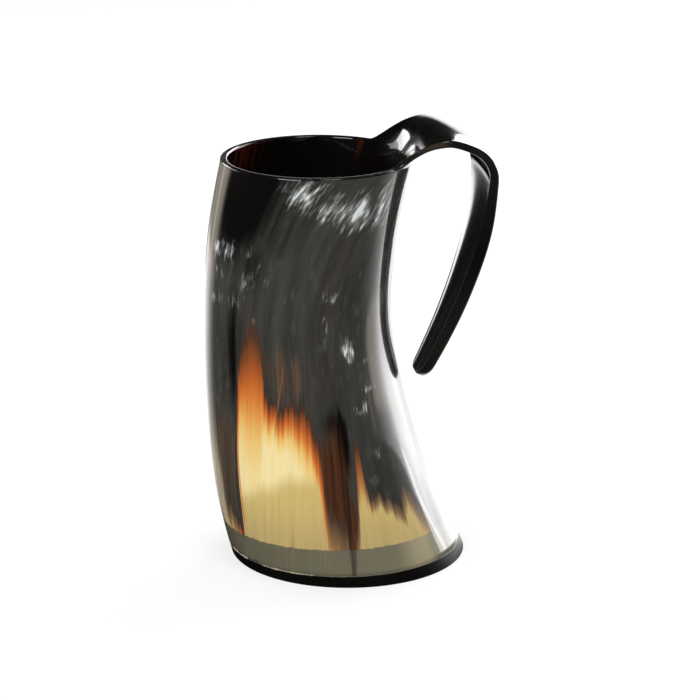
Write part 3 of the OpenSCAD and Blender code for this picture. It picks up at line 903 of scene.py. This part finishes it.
def make_bead(material):
    rise = horn_radius(PLUG_TOP + BEAD_SIZE) - horn_radius(PLUG_TOP)
    rise += horn_wall(PLUG_TOP) - horn_wall(PLUG_TOP + BEAD_SIZE)
    sizes = {
        "Steps": AROUND + 1, "Section steps": BEAD_SECTION_STEPS,
        "Radius": (horn_radius(PLUG_TOP) - horn_wall(PLUG_TOP) - PLUG_CLEARANCE) * MM,
        "Lean": rise / BEAD_SIZE, "Size": BEAD_SIZE * MM, "Height": PLUG_TOP * MM,
        "Foot shift": horn_middle(PLUG_TOP) * MM,
        "Shift slope": (horn_middle(PLUG_TOP + BEAD_SIZE) - horn_middle(PLUG_TOP)) / BEAD_SIZE,
        "Unevenness": 0.25,
    }
    tree, nodes, given, identifiers = new_tree("resin_fillet", sizes)
    sheet = nodes.add("GeometryNodeMeshGrid", 1.0, 1.0, given["Section steps"], given["Steps"], out=None)
    at = nodes.split(nodes.add("GeometryNodeInputPosition"))
    section = nodes.math("ADD", at[0], 0.5)
    turn = nodes.math("MULTIPLY", nodes.math("ADD", at[1], 0.5), 2 * math.pi)
    # In along the plug, up the hollow face, down the wall
    inward = nodes.float_curve(section, [(x, y) for x, y, _ in BEAD_SECTION], "VECTOR")
    upward = nodes.float_curve(section, [(x, z) for x, _, z in BEAD_SECTION], "VECTOR")
    round_x, round_y = nodes.math("COSINE", turn), nodes.math("SINE", turn)
    waves = nodes.noise(nodes.combine(round_x, round_y, 0.0), 5.0, 2)
    swell = nodes.math("MULTIPLY_ADD", nodes.math("SUBTRACT", waves, 0.6), given["Unevenness"], 1.0)
    size = nodes.math("MULTIPLY", given["Size"], nodes.math("MINIMUM", swell, 1.0))
    inward, upward = nodes.math("MULTIPLY", inward, size), nodes.math("MULTIPLY", upward, size)
    leaning = nodes.math("MULTIPLY_ADD", upward, given["Lean"], given["Radius"])
    radius = nodes.math("SUBTRACT", leaning, inward)
    shift = nodes.math("MULTIPLY_ADD", upward, given["Shift slope"], given["Foot shift"])
    x = nodes.math("MULTIPLY_ADD", round_x, radius, shift)
    y = nodes.math("MULTIPLY", round_y, radius)
    z = nodes.math("ADD", upward, given["Height"])
    placed = nodes.add("GeometryNodeSetPosition", sheet.outputs["Mesh"], Position=nodes.combine(x, y, z))
    closed = nodes.add("GeometryNodeMergeByDistance", placed, Distance=1e-6)
    return grow("resin_seal_bead", tree, nodes, closed, material, sizes, identifiers)


def make_glue_beads(material):
    """Glue that was squeezed out of the seam and rubbed off unevenly."""
    height = PLATE_THICKNESS + GLUE_THICKNESS / 2
    sizes = {
        "Beads": 150, "Seam radius": (horn_radius(height) - 0.1) * MM, "Seam height": height * MM,
        "Seam shift": horn_middle(height) * MM, "Longest": 1.9 * MM, "Shortest": 0.35 * MM,
        "Thickness": 0.34 * MM, "Seed": 7,
    }
    tree, nodes, given, identifiers = new_tree("squeezed_glue", sizes)
    seam = nodes.add("GeometryNodeCurvePrimitiveCircle", mode="RADIUS", out=None)
    nodes.put(seam.inputs["Radius"], given["Seam radius"])
    along = nodes.add("GeometryNodeCurveToPoints", seam.outputs["Curve"], mode="COUNT",
                      Count=given["Beads"], out=None)
    shifted = nodes.add("GeometryNodeSetPosition", along.outputs["Points"],
                        Offset=nodes.combine(given["Seam shift"], 0.0, given["Seam height"]))
    at = nodes.add("GeometryNodeInputPosition")
    # More of it was left on the side away from the handle
    rubbed = nodes.remap(nodes.split(at)[0], -0.03, 0.02, -0.12, 0.3)
    patches = nodes.math("SUBTRACT", nodes.noise(at, 38, 1), rubbed)
    dropped = nodes.math("LESS_THAN", patches, 0.47)
    kept = nodes.add("GeometryNodeDeleteGeometry", shifted, domain="POINT", Selection=dropped)
    blob = nodes.add("GeometryNodeMeshUVSphere", 12, 8, 1.0)
    length = nodes.add("FunctionNodeRandomValue", data_type="FLOAT", out=None)
    for key, value in (("Min", given["Shortest"]), ("Max", given["Longest"]), ("Seed", given["Seed"])):
        socket = [s for s in length.inputs if s.name == key and s.enabled][0]
        nodes.put(socket, value)
    size = nodes.combine(given["Thickness"], given["Thickness"], [s for s in length.outputs if s.enabled][0])
    beads = nodes.add("GeometryNodeInstanceOnPoints", kept, Instance=blob,
                      Rotation=along.outputs["Rotation"], Scale=size)
    return grow("squeezed_glue_beads", tree, nodes, beads, material, sizes, identifiers)


# Build the pieces

horn_material = horn_finish()
plate_material = black_finish()
glue_material = glue_finish()
plug_material = plug_finish()
resin_material = resin_finish()

horn = make_horn()
horn.data.materials.append(horn_material)
plate = make_plate(plate_material)
bead = make_bead(resin_material)
glue_beads = make_glue_beads(glue_material)

for node, material in (("glue_line", glue_material), ("base_plug", plug_material)):
    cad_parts[node].data.materials.clear()
    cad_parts[node].data.materials.append(material)

for piece, node, finish in (
    (horn, "horn_body", "polished_horn"),
    (plate, "base_plate", "black_horn"),
    (bead, "seal_bead", "clear_resin"),
):
    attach(piece, "root")
    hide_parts(node)
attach(glue_beads, "root")


# Studio

# Brightness of the room in reflections, by turn from the front, the left being negative:
# the whole floor, what the floor near the mug adds, what is taken from it, and the room
FLOOR_GLOW = (
    (-180, 2.0), (-173, 1.9), (-171, 1.6), (-168.5, 0.1), (-166, 0.03), (-152, 0.02), (-146, 0.03),
    (-118, 0.02), (-60, 0.02), (0, 0.02), (45, 0.03), (60, 0.08), (74, 0.5), (84, 1.6), (92, 2.8),
    (100, 5.0), (108, 7.5), (118, 7.6), (128, 6.0), (140, 3.6), (155, 2.4), (168, 2.2), (180, 2.0),
)
NEAR_GLOW = (
    (-180, 1.2), (-172, 1.4), (-158, 1.4), (-145, 0.75), (-133, 0.25), (-122, 0.03), (-112, 0.0), (180, 0.0),
)
NEAR_GAP = ((-180, 1.0), (-170, 1.0), (-165, 0.0), (170, 0.0), (174, 1.0), (180, 1.0))
ROOM_GLOW = (
    (-180, 0.8), (-172, 0.5), (-160, 0.08), (-125, 0.04), (-80, 0.03), (0, 0.03), (50, 0.05), (85, 0.3),
    (100, 1.0), (140, 1.6), (180, 0.8),
)


# Metres from the mug between which the floor brightens, and both shares; where the near floor ends;
# where its gap starts; the rise of a direction between which the sky darkens, and both shares
FLOOR_DIMS = (0.25, 0.7, 0.55, 1.0)
CLOSE_FLOOR = (0.66, 0.52)
GAP_STARTS = (0.38, 0.44)
LOW_SKY = (0.06, 0.17, 1.0, 0.02)

FLOOR_SIZE = 8.0
MATT_WHITE = (0.8, 0.8, 0.8, 1)
WHITE = (1, 1, 1, 1)
BACKDROP_SHARE = 0.7
ROOM_LIGHT = 0.5


def glow_at(nodes, way, stops):
    """Brightness from a direction over the floor."""
    turn = nodes.math("ARCTAN2", way[0], nodes.math("MULTIPLY", way[1], -1.0))
    share = nodes.math("MULTIPLY_ADD", turn, 0.5 / math.pi, 0.5)
    top = max(value for _, value in stops)
    line = nodes.float_curve(share, [(angle / 360 + 0.5, value / top) for angle, value in stops])
    return nodes.math("MULTIPLY", line, top)


def make_floor():
    mesh = bpy.data.meshes.new("studio_floor")
    half = FLOOR_SIZE / 2
    corners = [(-half, -half, 0), (half, -half, 0), (half, half, 0), (-half, half, 0)]
    mesh.from_pydata(corners, [], [(0, 1, 2, 3)])
    floor = bpy.data.objects.new("studio_floor", mesh)
    scene.collection.objects.link(floor)
    material = bpy.data.materials.new("white_sweep")
    material.use_nodes = True
    tree = material.node_tree
    tree.nodes.clear()
    nodes = Nodes(tree)
    path = nodes.add("ShaderNodeLightPath", out=None).outputs
    place = nodes.split(nodes.add("ShaderNodeTexCoord", out=None).outputs["Object"])
    matt = nodes.add("ShaderNodeBsdfDiffuse", MATT_WHITE)
    white = nodes.add("ShaderNodeEmission", WHITE, 1.0)
    flat = nodes.combine(place[0], place[1], 0.0)
    away = nodes.add("ShaderNodeVectorMath", flat, operation="LENGTH", out=1)
    near = nodes.remap(away, *FLOOR_DIMS)
    glow = nodes.math("MULTIPLY", glow_at(nodes, place, FLOOR_GLOW), near)
    close = nodes.remap(away, *CLOSE_FLOOR)
    glow = nodes.math("MULTIPLY_ADD", glow_at(nodes, place, NEAR_GLOW), close, glow)
    ring = nodes.math("MULTIPLY", close, nodes.remap(away, *GAP_STARTS))
    gap = nodes.math("MULTIPLY", glow_at(nodes, place, NEAR_GAP), ring)
    glow = nodes.math("MULTIPLY", glow, nodes.math("SUBTRACT", 1.0, gap))
    sweep = nodes.add("ShaderNodeEmission", WHITE, glow)
    backdrop = nodes.math("MULTIPLY", path["Is Camera Ray"], BACKDROP_SHARE)
    both = nodes.add("ShaderNodeMixShader", backdrop, matt, white)
    both = nodes.add("ShaderNodeMixShader", path["Is Glossy Ray"], both, sweep)
    nodes.add("ShaderNodeOutputMaterial", both, out=None)
    mesh.materials.append(material)


def make_world():
    world = bpy.data.worlds.new("studio")
    scene.world = world
    world.use_nodes = True
    tree = world.node_tree
    tree.nodes.clear()
    nodes = Nodes(tree)
    path = nodes.add("ShaderNodeLightPath", out=None).outputs
    way = nodes.split(nodes.add("ShaderNodeTexCoord", out=None).outputs["Generated"])
    low_sky = nodes.remap(way[2], *LOW_SKY)
    room = nodes.math("MULTIPLY", glow_at(nodes, way, ROOM_GLOW), low_sky)
    seen = nodes.math("MAXIMUM", path["Is Camera Ray"], path["Is Transmission Ray"])
    strength = nodes.add("ShaderNodeMix", path["Is Glossy Ray"], ROOM_LIGHT, room, data_type="FLOAT")
    strength = nodes.add("ShaderNodeMix", seen, strength, 1.0, data_type="FLOAT")
    background = nodes.add("ShaderNodeBackground", WHITE, strength)
    nodes.add("ShaderNodeOutputWorld", background, out=None)


def softbox(name, place, aim_height, width, height, power, glossy=True):
    light = bpy.data.lights.new(name, "AREA")
    light.shape = "RECTANGLE"
    light.size, light.size_y = width, height
    light.energy = power
    lamp = bpy.data.objects.new(name, light)
    scene.collection.objects.link(lamp)
    lamp.location = place
    lamp.rotation_euler = (Vector((0, 0, aim_height)) - Vector(place)).to_track_quat("-Z", "Y").to_euler()
    lamp.visible_camera = False
    lamp.visible_glossy = glossy


# The camera, fitted to the outline: degrees, metres, and the lens in millimetres
CAMERA_TURN = 9.6
CAMERA_PITCH = 17.21
CAMERA_DISTANCE = 1049.9 * MM
AIM_SIDE = 0.84 * MM
AIM_HEIGHT = 76.51 * MM
SENSOR_WIDTH = 36
LENS = 2860.44 * SENSOR_WIDTH / 700


def make_camera():
    """Looks down on the mug from a little left of its front, as in the photograph."""
    turn, pitch = math.radians(CAMERA_TURN), math.radians(CAMERA_PITCH)
    right = Vector((math.cos(turn), -math.sin(turn), 0))
    level = Vector((math.sin(turn), math.cos(turn), 0))
    ahead = level * math.cos(pitch) - Vector((0, 0, math.sin(pitch)))
    up = level * math.sin(pitch) + Vector((0, 0, math.cos(pitch)))
    data = bpy.data.cameras.new("camera")
    data.lens, data.sensor_width = LENS, SENSOR_WIDTH
    data.clip_start, data.clip_end = 0.05, 20
    camera = bpy.data.objects.new("camera", data)
    scene.collection.objects.link(camera)
    camera.matrix_world = Matrix.Translation(
        Vector((0, 0, AIM_HEIGHT)) + right * AIM_SIDE - ahead * CAMERA_DISTANCE
    ) @ Matrix((right, up, -ahead)).transposed().to_4x4()
    scene.camera = camera


make_floor()
make_world()
make_camera()
# Place, height of the aim, width, height and power of each soft lamp
softbox("right_softbox", (0.96, 0.42, 0.42), 0.07, 0.54, 1.1, 8.5)
softbox("back_softbox", (0.68, 0.91, 0.42), 0.07, 0.6, 0.8, 10.5)
softbox("back_left_softbox", (-0.61, 0.98, 0.48), 0.15, 0.42, 0.36, 3.2)
softbox("dim_left_softbox", (-0.90, 0.71, 0.48), 0.15, 0.46, 0.36, 1.5)
softbox("left_softbox", (-0.9, -0.9, 0.9), 0.07, 0.6, 0.6, 9.3)
softbox("front_softbox", (0.15, -0.5, 1.15), 0.1, 0.3, 0.3, 3)
softbox("top_softbox", (-0.2, 0.1, 1.2), 0.1, 0.6, 0.6, 3, glossy=False)
scene.view_settings.view_transform = "Standard"
